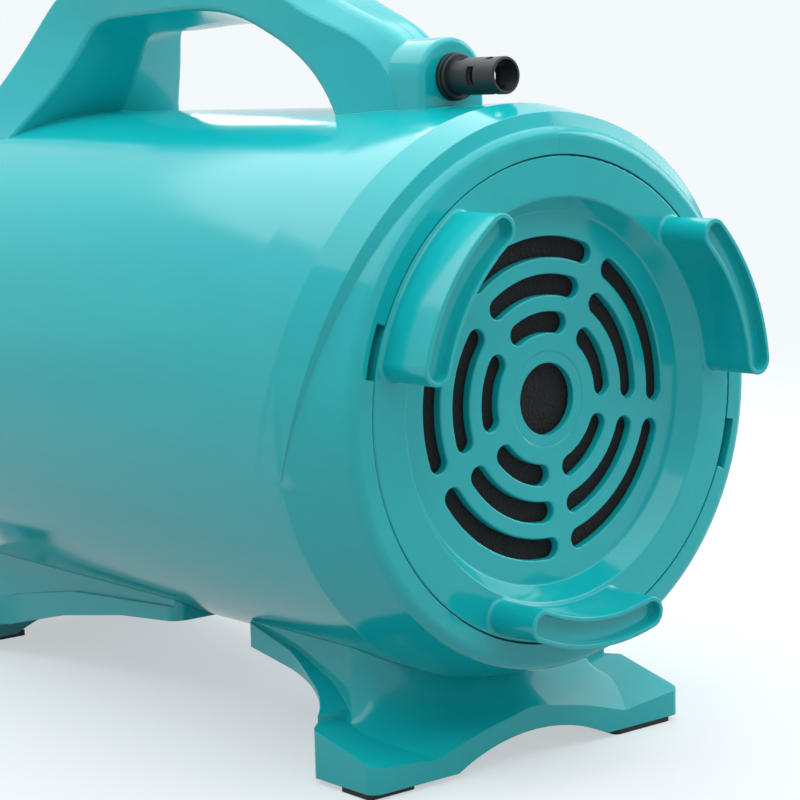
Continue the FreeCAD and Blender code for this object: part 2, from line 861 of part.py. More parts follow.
def foot(wall, way, length, end_rounding, top, under, screw_places):
    """A foot with its end wall at x = wall, from there along X in the direction of way."""
    def at(u):
        return wall + way * u

    leg_end = (foot_leg_length + 1.8, floor)
    side = [(0, floor), (0, foot_top)] + top + under + [leg_end]
    plate = along_y([(at(corner[0]), *corner[1:]) for corner in side], -80, 80)
    lower = [(0, floor - 20), (0, floor), leg_end] + list(reversed(under))
    lower += [(length + 20, under[0][1]), (length + 20, floor - 20)]
    below = along_y([(at(corner[0]), *corner[1:]) for corner in lower], -90, 90)
    arch_radius = (foot_arch_half_width ** 2 + foot_arch_height ** 2) / (2 * foot_arch_height)
    arch = rod(at(-5), at(length + 5), arch_radius, 0, floor + foot_arch_height - arch_radius)
    body = plate.cut(over_the_legs(at, way)).fuse(foot_web(at, length))
    body = body.common(foot_plan(at, length, end_rounding)).cut([below, arch, cradle()])
    holes = []
    for x, y in screw_places:
        seat = foot_screw_seat(y)
        holes.append(rod_z(x, y, floor - 5, keel + 35, screw_radius + 0.1))
        holes.append(rod_z(x, y, floor - 5, seat, screw_head_radius + 0.5))
    return body.cut(holes)


def foot_screw_seat(y):
    """The height of a screw head's seat: deep under the web, shallow in the thin ears."""
    cover = 5.6 if abs(y) < 30 else 2.6
    return casing_bottom(y, barrel_radius) - cover


def foot_screws():
    screws = []
    for x, y in all_foot_screws:
        seat = foot_screw_seat(y)
        head = rod_z(x, y, seat - screw_head_height, seat, screw_head_radius)
        shank = rod_z(x, y, seat, seat + foot_screw_length, screw_radius - 0.3)
        socket = block(x - 2.2, x + 2.2, y - 0.45, y + 0.45, seat - 4, seat - 1.1)
        cross = block(x - 0.45, x + 0.45, y - 2.2, y + 2.2, seat - 4, seat - 1.1)
        screws.append(head.fuse(shank).cut([socket, cross]))
    return Part.makeCompound(screws)


def foot_pad(x0, x1, y0, y1):
    corners = [(x0, y0, 2), (x1, y0, 2), (x1, y1, 2), (x0, y1, 2)]
    return along_z(corners, floor - pad_thickness, floor)


# Strain relief and cord clamp

def strain_relief():
    rear = boss_rear
    tip = rear + 3.6 + relief_length
    nose_bore = relief_bore + relief_nose_ease
    body = [
        (tip, relief_bore + 1.3),
        (tip, relief_radius, 0.5),
        (rear + 3.6, relief_radius),
        (rear + 3.6, relief_collar_radius - 0.35, 0.4),
        (rear + 2.1, relief_collar_radius - 0.35, 0.3),
        (rear + 2.1, relief_collar_radius - 0.9),
        (rear + 1.8, relief_collar_radius - 0.9),
        (rear + 1.8, relief_collar_radius, 0.4),
        (rear, relief_collar_radius),
        (rear, relief_radius),
        (rear - casing_wall, relief_radius),
        (rear - casing_wall, relief_collar_radius - 0.6),
        (rear - casing_wall - 2.4, relief_collar_radius - 0.6, 0.4),
        (rear - casing_wall - 2.4, relief_bore),
        (rear + relief_grip, relief_bore),
        (rear + relief_grip, nose_bore),
        (tip - 7.0, nose_bore, 3),
    ]
    shape = turned(body)
    shape.translate(Vector(0, 0, cord_height))
    windows = []
    for place, across in ((rear + 6.8, 0), (rear + 14.6, 90), (rear + 20.8, 0)):
        for side in (0, 180):
            window = block(place - 1.6, place + 1.6, -3.1, 3.1, relief_bore - 1, relief_radius + 2)
            window.rotate(Vector(0, 0, 0), Vector(1, 0, 0), across + side)
            window.translate(Vector(0, 0, cord_height))
            windows.append(window)
    return shape.cut(windows)


clamp_top = 5.8


def cord_clamp():
    """A bar across the cord, screwed to two pegs of the left half."""
    half = clamp_screw_offset + 2.8
    bar = block(clamp_x - 4, clamp_x + 4, clamp_face, clamp_top, cord_height - half, cord_height + half)
    groove = rod(clamp_x - 5, clamp_x + 5, relief_bore - 0.2, 0, cord_height)
    holes = [rod_y(clamp_x, cord_height + offset, -5, 10, clamp_screw_radius + 0.1)
             for offset in (-clamp_screw_offset, clamp_screw_offset)]
    return bar.cut([groove] + holes)


def clamp_screws():
    screws = []
    for offset in (-clamp_screw_offset, clamp_screw_offset):
        z = cord_height + offset
        shank = rod_y(clamp_x, z, -7.5, clamp_top, clamp_screw_radius - 0.2)
        screws.append(shank.fuse(rod_y(clamp_x, z, clamp_top, clamp_top + 1.2, 2.0)))
    return Part.makeCompound(screws)


# Controls on the panel

knob_up = 9.0
knob_across = 0.0
rocker_up = -12.5
rocker_across = 9.6


def switch_corners(half_across, half_up, side, radius=1.0):
    centre = side * rocker_across
    return [
        (centre - half_across, rocker_up - half_up, radius),
        (centre + half_across, rocker_up - half_up, radius),
        (centre + half_across, rocker_up + half_up, radius),
        (centre - half_across, rocker_up + half_up, radius),
    ]


def control_panel():
    plate = panel_prism(panel_corners(0.2), -panel_thickness, 0.3)
    holes = [panel_rod(knob_up, knob_across, -9, 5, 3.6)]
    for side in (-1, 1):
        outline_corners = switch_corners(rocker_width / 2 + 1.4, rocker_length / 2 + 1.4, side)
        holes.append(panel_prism(outline_corners, -9, 5))
    return plate.cut(holes)


def switch_body(side):
    bezel = panel_prism(switch_corners(rocker_width / 2 + 2.4, rocker_length / 2 + 2.4, side), 0.35, 1.5)
    body = panel_prism(switch_corners(rocker_width / 2 + 1.2, rocker_length / 2 + 1.2, side), -12.0, 0.35)
    well = panel_prism(switch_corners(rocker_width / 2 + 0.35, rocker_length / 2 + 0.35, side, 0.6), -6.5, 5)
    terminals = []
    for up in (-4.0, 4.0):
        terminals.append(panel_prism([
            (side * rocker_across - 2.2, rocker_up + up - 0.4),
            (side * rocker_across + 2.2, rocker_up + up - 0.4),
            (side * rocker_across + 2.2, rocker_up + up + 0.4),
            (side * rocker_across - 2.2, rocker_up + up + 0.4),
        ], -19, -11.9))
    return joined([bezel.fuse(body).cut(well)] + terminals)


def rocker(side):
    """The rocker's side view is a shallow V on a round belly, turned half its travel about its pin."""
    half = rocker_length / 2 - 0.5
    pivot = -1.2
    belly = panel_prism_across([
        (-half, 3.0, 0.6),
        (0, 1.6, 12),
        (half, 3.0, 0.6),
        (half - 0.6, -0.6, 0.8),
        (2.4, -4.6, 1.5),
        (-2.4, -4.6, 1.5),
        (-half + 0.6, -0.6, 0.8),
    ], side * rocker_across - rocker_width / 2, side * rocker_across + rocker_width / 2)
    hinge = on_panel(rocker_up, side * rocker_across, pivot)
    belly.rotate(hinge, Vector(0, 1, 0), rocker_angle / 2)
    return belly


def panel_prism_across(corners, across0, across1):
    """A prism across the panel from corners (up from the rocker's middle, out of the face)."""
    wire = outline(corners, lambda up, out: on_panel(rocker_up + up, across0, out))
    return Part.Face(wire).extrude(Vector(0, across1 - across0, 0))


def speed_knob():
    base = 0.3 + knob_gap
    body = panel_rod(knob_up, knob_across, base, base + knob_height, knob_radius - 1.2)
    top_edges = [edge for edge in body.Edges if edge.Length > 40 and
                 (edge.CenterOfMass - on_panel(knob_up, knob_across, base + knob_height)).Length < 0.1]
    body = body.makeFillet(1.5, top_edges)
    skirt = panel_rod(knob_up, knob_across, base, base + 3.0, knob_radius)
    knob = body.fuse(skirt)
    grips = []
    axis = on_panel(0, 0, 1) - on_panel(0, 0, 0)
    for number in range(18):
        grip = panel_rod(knob_up + knob_radius - 0.55, knob_across, base + 3.4, base + knob_height + 1, 1.1)
        grip.rotate(on_panel(knob_up, knob_across, 0), axis, number * 20.0)
        grips.append(grip)
    pointer = panel_prism([
        (-0.7, knob_up + 3.0),
        (0.7, knob_up + 3.0),
        (0.7, knob_up + knob_radius - 1.8),
        (-0.7, knob_up + knob_radius - 1.8),
    ], base + knob_height - 0.7, base + knob_height + 1)
    socket = panel_rod(knob_up, knob_across, base - 1, base + 9.0, 3.05)
    return knob.cut(grips + [pointer, socket])


def pot_shaft():
    return panel_rod(knob_up, knob_across, -14.0, 0.3 + knob_gap + 8.6, 3.0)


def speed_pot():
    body = panel_rod(knob_up, knob_across, -15.5, -5.0, 8.5)
    neck = panel_rod(knob_up, knob_across, -5.0, 0.3, 3.5)
    bore = panel_rod(knob_up, knob_across, -14.6, 1.0, 3.0 + shaft_clearance)
    lugs = []
    for across in (-5, 0, 5):
        lugs.append(panel_prism([
            (across - 0.9, knob_up + 7.0),
            (across + 0.9, knob_up + 7.0),
            (across + 0.9, knob_up + 12.0),
            (across - 0.9, knob_up + 12.0),
        ], -14.8, -14.2))
    return joined([body.fuse(neck).cut(bore)] + lugs)


def pot_nut():
    """A ring nut under the panel that clamps the potentiometer's neck."""
    return panel_rod(knob_up, knob_across, -4.9, -panel_thickness, 6.0).cut(
        panel_rod(knob_up, knob_across, -6.0, 0.0, 3.5))


# Speed board in two grooved rails of the casing

board_rear = -214.0
board_length = 46.0
board_half_width = 24.0
board_height = tail_wall - 20.0
board_thickness = 1.6


def board_rails():
    """Two grooved rails on the casing's wall that carry the board's edges."""
    rails = []
    for side in (-1, 1):
        inner = board_half_width - 2.0
        low = min(side * inner, side * barrel_radius)
        rails.append(block(board_rear - board_length, board_rear, low, low + barrel_radius - inner,
                           board_height - 3.0, board_height + 5.0))
    inside = rod(-30, front_x, tail_wall + 1)
    rails = [rail.common(inside) for rail in rails]
    groove = block(board_rear - board_length - 1, board_rear + 1,
                   -board_half_width - 0.1, board_half_width + 0.1,
                   board_height - 0.1, board_height + board_thickness + 0.1)
    return [rail.cut(groove) for rail in rails]


def speed_board():
    front = board_rear - board_length
    return block(front + 1, board_rear - 1, -board_half_width, board_half_width,
                 board_height, board_height + board_thickness)


def heat_sink():
    """A finned aluminium bar that stands on the board."""
    top = board_height + board_thickness
    x0 = board_rear - 30
    base = block(x0, x0 + 2.5, -16, 16, top, top + 11)
    fins = [block(x0 - 6, x0, y - 0.6, y + 0.6, top + 1, top + 11) for y in (-15, -9, -3, 3, 9, 15)]
    return joined([base] + fins)


def triac():
    top = board_height + board_thickness
    x0 = board_rear - 30 + 2.5
    body = block(x0, x0 + 4.4, -5, 5, top + 2.0, top + 10)
    legs = [block(x0 + 1.8, x0 + 2.5, y - 0.4, y + 0.4, top, top + 2.0) for y in (-2.5, 0, 2.5)]
    return joined([body] + legs)


# Motor and blower, from the rear (intake) end forwards

eye_radius = 24.0


def motor_can():
    outer = motor_radius
    inner = motor_radius - motor_can_wall
    return turned([
        (motor_rear, eye_radius),
        (motor_rear, outer, 3),
        (can_front, outer),
        (can_front, inner),
        (motor_rear - motor_can_wall, inner, 2),
        (motor_rear - motor_can_wall, eye_radius),
    ])


def blade_face(front, turn):
    """A blade's outline between its two curved sides, on the plane at x = front."""
    pressure_side = []
    suction_side = []
    for radius, lean in ((10.8, 0.0), (30.0, -14.0), (48.0, -36.0), (impeller_radius - 0.5, -62.0)):
        thickness_angle = math.degrees(blade_thickness / radius)
        pressure_side.append(Vector(front, *around(radius, turn + lean)))
        suction_side.append(Vector(front, *around(radius, turn + lean + thickness_angle)))
    curve = Part.BSplineCurve()
    curve.interpolate(pressure_side)
    other = Part.BSplineCurve()
    other.interpolate(list(reversed(suction_side)))
    return Part.Face(Part.Wire([
        curve.toShape(),
        Part.LineSegment(pressure_side[-1], suction_side[-1]).toShape(),
        other.toShape(),
        Part.LineSegment(suction_side[0], pressure_side[0]).toShape(),
    ]))


def impeller(rear):
    """A back plate, a front plate with the eye, and curved blades between them."""
    front = rear - impeller_width
    back = ring(front, front + 1.0, impeller_radius, shaft_radius)
    shroud = ring(rear - 1.0, rear, impeller_radius, eye_radius)
    hub = ring(front, rear - 1.0, shaft_radius + 7.0, shaft_radius)
    blades = []
    for number in range(blade_count):
        face = blade_face(front + 0.5, number * 360.0 / blade_count)
        blades.append(face.extrude(Vector(impeller_width - 1.2, 0, 0)))
    return joined([back, shroud, hub] + blades)


def diffuser():
    front = diffuser_rear - diffuser_width
    rim = motor_radius - motor_can_wall - 0.1
    plate = ring(diffuser_rear - 1.2, diffuser_rear, rim - 9.0, 16.0)
    wall = ring(front, diffuser_rear, rim, rim - 1.2)
    vane = block(front, diffuser_rear, 16.5, rim - 0.5, -0.7, 0.7)
    vane.rotate(Vector(0, 40, 0), Vector(1, 0, 0), 18)
    return joined([plate, wall, ring(front, diffuser_rear, 17.5, 16.0)] + turned_copies(vane, 9))


def motor_frame():
    """The cast plate that closes the can, with air windows, a bearing seat and four stator posts."""
    front = frame_rear - frame_width
    plate = ring(frame_rear - 4.0, frame_rear, motor_radius, bearing_radius)
    seat = ring(front - 1.0, frame_rear, bearing_radius + 3.0, bearing_radius)
    lip = ring(frame_rear, frame_rear + 1.2, bearing_radius + 3.0, shaft_radius + 2.0)
    windows = [arc_slot(motor_radius - 14.0, 14.0, start, start + 62, front - 3, frame_rear + 3)
               for start in (14, 104, 194, 284)]
    posts = []
    for angle in (0, 90, 180, 270):
        y, z = around(stator_post_circle, angle)
        posts.append(rod(bracket_rear - 2.0, frame_rear - 3.9, stator_post_radius, y, z))
    return joined([plate.cut(windows), seat, lip] + posts)


def stator_core():
    body = ring(stator_front, stator_rear, stator_radius, rotor_radius + air_gap)
    windows = []
    for start in (62, 242):
        windows.append(arc_slot(33.5, 8.0, start, start + 56, stator_front - 1, stator_rear + 1))
    return body.cut(windows)


def field_coils():
    """Two windings, each through the core's slots and over its two ends."""
    coils = []
    for side in (0, 180):
        for start, end in ((stator_front - 7.0, stator_front), (stator_rear, stator_rear + 7.0)):
            coils.append(arc_slot(36.0, 13.0, 32 + side, 148 + side, start, end))
        coils.append(arc_slot(33.5, 7.4, 64 + side, 116 + side, stator_front - 0.1, stator_rear + 0.1))
    first = joined(coils[:3])
    second = joined(coils[3:])
    return Part.makeCompound([first, second])


def rotor_shaft():
    return rod(shaft_front, shaft_rear, shaft_radius)


def rotor_core():
    body = ring(stator_front, stator_rear, rotor_radius, shaft_radius)
    slots = []
    for number in range(12):
        slot = block(stator_front - 1, stator_rear + 1, 15.0, rotor_radius + 1, -1.0, 1.0)
        slot.rotate(Vector(0, 0, 0), Vector(1, 0, 0), number * 30.0)
        slots.append(slot)
    return body.cut(slots)


def rotor_coils():
    ends = []
    for start, end in ((stator_front - 8.0, stator_front), (stator_rear, stator_rear + 8.0)):
        ends.append(turned([
            (start, shaft_radius + 3.0),
            (start, rotor_radius - 4.0, 3),
            (end, rotor_radius - 4.0, 3),
            (end, shaft_radius + 3.0),
        ]))
    bars = []
    for number in range(12):
        bar = block(stator_front - 0.1, stator_rear + 0.1, 15.1, rotor_radius - 4.2, -0.9, 0.9)
        bar.rotate(Vector(0, 0, 0), Vector(1, 0, 0), number * 30.0)
        bars.append(bar)
    return joined(ends + bars)


def commutator():
    front = commutator_rear - commutator_length
    body = ring(front, commutator_rear, commutator_radius, shaft_radius)
    riser = ring(commutator_rear - 2.0, commutator_rear, commutator_radius + 1.6, commutator_radius - 1)
    slits = []
    for number in range(24):
        slit = block(front - 1, commutator_rear + 1,
                     commutator_radius - 1.0, commutator_radius + 3, -0.2, 0.2)
        slit.rotate(Vector(0, 0, 0), Vector(1, 0, 0), number * 15.0)
        slits.append(slit)
    return body.fuse(riser).cut(slits)


def bearing(front):
    """A shielded ball bearing as one ring, with its shaft's running clearance."""
    rear = front + bearing_width
    body = ring(front, rear, bearing_radius, shaft_radius + shaft_clearance)
    shields = [ring(front - 1, front + 0.5, 9.4, 6.0), ring(rear - 0.5, rear + 1, 9.4, 6.0)]
    return body.cut(shields)


def brush_bracket():
    """The moulded bridge over the commutator end, with the front bearing's seat and two brush sockets."""
    front = bracket_front
    reach = stator_radius + 9
    seat = ring(front, bracket_rear, bearing_radius + 3.0, bearing_radius)
    nose = rod(front - 8.5, front, bearing_radius + 3.0).cut(rod(front - 1.2, front + 1, shaft_radius + 2.0))
    bridge = block(front + 2, bracket_rear - 2, -reach, reach, -9, 9)
    cross = block(front + 2, bracket_rear - 2, -9, 9, -reach, reach)
    hole = rod(front - 3, bracket_rear + 3, bearing_radius + 1.0)
    arms = []
    for side in (-1, 1):
        low = min(side * 17.0, side * 40.0)
        arms.append(block(bracket_rear - 4, commutator_rear - 2, low, low + 23.0, -8.0, 8.0))
    shell = joined([seat, nose, bridge.cut(hole), cross.cut(hole)] + arms)
    sockets = []
    for side in (-1, 1):
        low = min(side * 16.0, side * 41.0)
        sockets.append(block(commutator_rear - commutator_length + 1, commutator_rear - 3,
                             low, low + 25.0, -4.5, 4.5))
    post_holes = []
    for angle in (0, 90, 180, 270):
        y, z = around(stator_post_circle, angle)
        post_holes.append(rod(front - 1, bracket_rear + 1, stator_post_radius, y, z))
    return shell.cut(sockets + post_holes)


def brush_set():
    """Holders, brushes and springs in line, on both sides of the commutator."""
    holders = []
    brushes = []
    springs = []
    x0 = commutator_rear - commutator_length + 1
    x1 = commutator_rear - 3
    for side in (-1, 1):
        def bar(near, far, inset):
            low = min(side * near, side * far)
            return block(x0 + inset, x1 - inset, low, low + far - near, -4.5 + inset, 4.5 - inset)
        holder = bar(commutator_radius + 2.2, 40.5, 0.05).cut(bar(commutator_radius, 39.5, 1.2))
        holders.append(holder)
        face = rod(x0 - 5, x1 + 5, commutator_radius + brush_gap)
        brushes.append(bar(commutator_radius - 1, commutator_radius + 14.0, 1.3).cut(face))
        springs.append(rod_y((x0 + x1) / 2, 0, min(side * (commutator_radius + 14.0), side * 39.4),
                             max(side * (commutator_radius + 14.0), side * 39.4), 1.9))
    return Part.makeCompound(holders), Part.makeCompound(brushes), Part.makeCompound(springs)


# Supports between the motor and the casing

def post_clearances(reach, gap):
    """Room for the casing's screw posts."""
    return [rod_y(x, z, -reach, reach, post_boss_radius + gap) for x, z in post_places]


def bulkhead():
    """The wall between the intake room and the pressure side, in the casing's rear rib seat."""
    x = ring_seats[0]
    plate = ring(x - ring_width, x, tail_wall - ring_gap, motor_radius + ring_thickness)
    return plate.cut(post_clearances(60, 0.4))


def motor_ring_rear():
    x = ring_seats[0]
    return ring(x - ring_width, x, motor_radius + ring_thickness, motor_radius)


def motor_spider():
    """Three arms from the casing's front rib seat to a hub round the brush bracket's nose."""
    x = ring_seats[1]
    front = x - ring_width
    outer = ring(front, x, tail_wall - ring_gap, tail_wall - 5)
    hub = ring(front, x, nose_bush_radius + 5.0, nose_bush_radius)
    arm = block(front, x, nose_bush_radius + 2, tail_wall - 3, -4, 4)
    return joined([outer, hub] + turned_copies(arm, 3, 30)).cut(post_clearances(60, 0.4))


def motor_ring_front():
    """A rubber bush on the brush bracket's nose, inside the spider's hub."""
    x = ring_seats[1]
    return ring(x - ring_width, x, nose_bush_radius, bearing_radius + 3.0)


def acoustic_liner():
    """Foam round the motor, with room for the screw posts and the feet's screw bosses."""
    body = ring(liner_rear - liner_length, liner_rear, tail_wall - liner_gap, motor_radius + 8.0)
    boss_rooms = [rod_z(x, y, keel - 5, foot_boss_top(y) + 2.5, foot_boss_radius + 1.4)
                  for x, y in all_foot_screws]
    return body.cut(post_clearances(60, 1.0) + boss_rooms)


# Heater

heater_front = heater_rear - heater_length


def heater_frame():
    """Two mica sheets halved into each other, notched for the coils."""
    sheet = block(heater_front, heater_rear, -heater_radius, heater_radius, -0.6, 0.6)
    other = block(heater_front, heater_rear, -0.6, 0.6, -heater_radius, heater_radius)
    notches = []
    for number in range(coil_count):
        x = coil_place(number)
        notches.append(Part.makeTorus(coil_radius, coil_wire + 0.3, Vector(x, 0, 0), Vector(1, 0, 0)))
    return joined([sheet, other]).cut(notches)


def coil_place(number):
    return heater_rear - 12.0 - number * (heater_length - 24.0) / (coil_count - 1)


def heater_coils():
    rings = [Part.makeTorus(coil_radius, coil_wire, Vector(coil_place(number), 0, 0), Vector(1, 0, 0))
             for number in range(coil_count)]
    return Part.makeCompound(rings)


def heater_shield():
    body = ring(heater_front - 4, heater_rear + 4, heater_radius + 1.6, heater_radius + 0.6)
    tab = block(heater_rear - 8, heater_rear - 4, heater_radius + 1.2, tail_wall - 0.3, -5, 5)
    arms = turned_copies(tab, 3, 30)
    return joined([body] + arms)


def thermal_cutout():
    disc = Part.makeCylinder(7.5, 6.0, Vector(heater_rear - 10, 0.6, 22), Vector(0, 1, 0))
    tabs = [block(heater_rear - 11, heater_rear - 9, 6.6, 12, z - 2.5, z + 2.5) for z in (18.5, 25.5)]
    return joined([disc] + tabs)


def build():
    shell = casing_shell().fuse(board_rails())
    shell = shell.cut(housing_screw_cuts())
    reach = barrel_length + barrel_radius + 200
    left_space = block(-reach, 100, -reach, 0, -reach, reach)
    right_space = block(-reach, 100, 0, reach, -reach, reach)
    save("housing_left", shell.common(left_space))
    save("housing_right", shell.common(right_space))
    save("housing_screws", housing_screws())
    save("intake_cover", intake_cover())
    save("filter_foam", filter_foam())
    save("filter_grid", filter_grid())
    save("nose_cap", nose_cap())
    save("outlet_collar", outlet_collar())
    save("outlet_guard", outlet_guard())
    save("rear_foot", foot(rear_foot_wall, -1, rear_foot_length, 1.0,
                           rear_foot_top, rear_foot_under, rear_foot_screws))
    save("front_foot", foot(front_foot_wall, 1, front_foot_length, 6.0,
                            front_foot_top, front_foot_under, front_foot_screws))
    save("foot_screws", foot_screws())
    rear = rear_foot_wall
    front = front_foot_wall
    save("foot_pad_rear_left", foot_pad(rear - 18.0, rear - 2.4, -69.4, -50.0))
    save("foot_pad_rear_right", foot_pad(rear - 18.0, rear - 0.9, 39.0, 66.0))
    save("foot_pad_front_left", foot_pad(front + 12.0, front + 28.5, -53.0, -28.0))
    save("foot_pad_front_right", foot_pad(front + 0.9, front + 18.0, 40.0, 65.0))
    save("strain_relief", strain_relief())
    save("cord_clamp", cord_clamp())
    save("clamp_screws", clamp_screws())
    save("control_panel", control_panel())
    save("power_switch", switch_body(-1))
    save("power_rocker", rocker(-1))
    save("heat_switch", switch_body(1))
    save("heat_rocker", rocker(1))
    save("speed_knob", speed_knob())
    save("pot_shaft", pot_shaft())
    save("speed_pot", speed_pot())
    save("pot_nut", pot_nut())
    save("speed_board", speed_board())
    save("heat_sink", heat_sink())
    save("triac", triac())
    save("motor_can", motor_can())
    save("impeller_1", impeller(first_stage_rear))
    save("diffuser", diffuser())
    save("impeller_2", impeller(second_stage_rear))
    save("motor_frame", motor_frame())
    save("stator_core", stator_core())
    save("field_coils", field_coils())
    save("rotor_shaft", rotor_shaft())
    save("rotor_core", rotor_core())
    save("rotor_coils", rotor_coils())
    save("commutator", commutator())
    save("bearing_rear", bearing(bearing_rear_x))
    save("bearing_front", bearing(bearing_front_x))
    save("brush_bracket", brush_bracket())
    holders, brushes, springs = brush_set()
    save("brush_holders", holders)
    save("brushes", brushes)
    save("brush_springs", springs)
    save("bulkhead", bulkhead())
    save("motor_ring_rear", motor_ring_rear())
    save("motor_spider", motor_spider())
    save("motor_ring_front", motor_ring_front())
    save("acoustic_liner", acoustic_liner())
    save("heater_frame", heater_frame())
    save("heater_coils", heater_coils())
    save("heater_shield", heater_shield())
    save("thermal_cutout", thermal_cutout())


build()
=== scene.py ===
import bpy, bmesh, json, math
from mathutils import Matrix, Vector
from mathutils.noise import noise


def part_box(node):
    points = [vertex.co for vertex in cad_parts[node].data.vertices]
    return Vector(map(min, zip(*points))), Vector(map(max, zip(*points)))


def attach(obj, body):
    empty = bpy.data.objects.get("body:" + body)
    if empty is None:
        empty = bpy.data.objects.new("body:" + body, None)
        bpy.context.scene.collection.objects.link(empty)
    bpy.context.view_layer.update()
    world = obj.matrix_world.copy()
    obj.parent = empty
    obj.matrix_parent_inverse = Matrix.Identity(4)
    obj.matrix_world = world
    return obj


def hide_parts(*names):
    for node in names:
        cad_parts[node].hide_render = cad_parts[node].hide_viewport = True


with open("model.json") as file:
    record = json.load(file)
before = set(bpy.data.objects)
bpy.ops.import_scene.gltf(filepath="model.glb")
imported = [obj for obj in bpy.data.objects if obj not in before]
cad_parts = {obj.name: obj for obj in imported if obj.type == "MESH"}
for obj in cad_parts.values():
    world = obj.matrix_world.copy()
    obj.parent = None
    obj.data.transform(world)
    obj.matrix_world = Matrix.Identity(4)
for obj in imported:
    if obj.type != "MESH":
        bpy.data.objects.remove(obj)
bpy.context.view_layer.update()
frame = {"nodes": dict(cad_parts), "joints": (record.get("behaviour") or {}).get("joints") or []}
nodes = frame["nodes"]

# Camera
# The photograph is taken from behind the intake and from the left, a little above the barrel's axis, with
# a longish lens. From this place the cover's circles, the barrel and the handle fall where it shows them.
camera_azimuth = math.radians(50.35)
camera_elevation = math.radians(7.59)
camera_roll = math.radians(-1.43)
camera_place = (0.72908, -0.51038, 0.22175)
camera_data = bpy.data.cameras.new("camera")
camera_data.sensor_width = 36.0
camera_data.lens = 103.9
camera_data.clip_start = 0.01
camera = bpy.data.objects.new("camera", camera_data)
bpy.context.scene.collection.objects.link(camera)
bpy.context.scene.camera = camera
back = Vector((
    math.sin(camera_azimuth) * math.cos(camera_elevation),
    -math.cos(camera_azimuth) * math.cos(camera_elevation),
    math.sin(camera_elevation),
))
level_right = Vector((math.cos(camera_azimuth), math.sin(camera_azimuth), 0.0))
level_up = back.cross(level_right)
right = level_right * math.cos(camera_roll) + level_up * math.sin(camera_roll)
up = level_up * math.cos(camera_roll) - level_right * math.sin(camera_roll)
turn = Matrix((right, up, back)).transposed().to_4x4()
camera.matrix_world = Matrix.Translation(camera_place) @ turn

# Casing halves, intake cover and feet: injection-moulded ABS
# Two mirrored halves from a polished mould, coloured through, with no paint: faint flow marks lie along
# the barrel, the gloss has a slight orange peel, and the half-millimetre edges catch the light.
mm = 0.001
abs_colour = "#0FB9BF"
abs_flow_colour = "#17C0C4"
abs_flow_marks_mm = (260, 34, 34)
abs_flow_contrast = (0.35, 0.68)
abs_roughness = (0.09, 0.16)
abs_peel_mm = 2.6
abs_peel_depth_mm = 0.008
abs_edge_mm = 0.5


def linear(colour):
    """An sRGB hex colour as linear red, green, blue and alpha."""
    values = [int(colour[start:start + 2], 16) / 255 for start in (1, 3, 5)]
    return tuple(v / 12.92 if v <= 0.04045 else ((v + 0.055) / 1.055) ** 2.4 for v in values) + (1.0,)


def node_in(tree, kind, settings=None, links=None, inputs=None):
    """A shader node with its settings, its constant inputs and its incoming links."""
    made = tree.nodes.new(kind)
    for name, value in (settings or {}).items():
        setattr(made, name, value)
    for name, value in (inputs or {}).items():
        made.inputs[name].default_value = value
    for name, source in (links or {}).items():
        tree.links.new(source, made.inputs[name])
    return made


def blank_material(name):
    """A new material, its empty node tree and the place on the object in metres."""
    material = bpy.data.materials.new(name)
    material.use_nodes = True
    tree = material.node_tree
    tree.nodes.clear()
    return material, tree, node_in(tree, "ShaderNodeTexCoord").outputs["Object"]


def finish_nodes(material, *names):
    """Gives the named CAD nodes this material in place of their own."""
    for name in names:
        nodes[name].data.materials.clear()
        nodes[name].data.materials.append(material)


def polished_abs():
    """Flow marks in tone and gloss, orange peel, and rounded edges in the shading."""
    material, tree, place = blank_material("turquoise_abs_polished_mould")
    stretch = node_in(tree, "ShaderNodeMapping", links={"Vector": place}, inputs={
        "Scale": [1 / (length * mm) for length in abs_flow_marks_mm]})
    flow = node_in(tree, "ShaderNodeTexNoise", links={"Vector": stretch.outputs["Vector"]}, inputs={
        "Scale": 1.0, "Detail": 5.0, "Roughness": 0.6, "Distortion": 0.4})
    marks = node_in(tree, "ShaderNodeMapRange", links={"Value": flow.outputs["Fac"]}, inputs={
        "From Min": abs_flow_contrast[0], "From Max": abs_flow_contrast[1]})
    colour = node_in(tree, "ShaderNodeMix", {"data_type": "RGBA"}, links={0: marks.outputs[0]}, inputs={
        6: linear(abs_colour), 7: linear(abs_flow_colour)})
    gloss = node_in(tree, "ShaderNodeMapRange", links={"Value": flow.outputs["Fac"]}, inputs={
        "From Min": 0.3, "From Max": 0.7, "To Min": abs_roughness[0], "To Max": abs_roughness[1]})
    edge = node_in(tree, "ShaderNodeBevel", {"samples": 4}, inputs={"Radius": abs_edge_mm * mm})
    peel = node_in(tree, "ShaderNodeTexNoise", links={"Vector": place}, inputs={
        "Scale": 1 / (abs_peel_mm * mm), "Detail": 1.0})
    depth = {"Strength": 0.25, "Distance": abs_peel_depth_mm * mm}
    bump = node_in(tree, "ShaderNodeBump", inputs=depth, links={
        "Height": peel.outputs["Fac"], "Normal": edge.outputs["Normal"]})
    sheen = {"IOR": 1.5, "Specular IOR Level": 0.4}
    shader = node_in(tree, "ShaderNodeBsdfPrincipled", inputs=sheen, links={
        "Base Color": colour.outputs[2], "Roughness": gloss.outputs[0], "Normal": bump.outputs["Normal"]})
    node_in(tree, "ShaderNodeOutputMaterial", links={"Surface": shader.outputs["BSDF"]})
    return material


finish_nodes(polished_abs(), "housing_left", "housing_right", "intake_cover", "rear_foot", "front_foot")

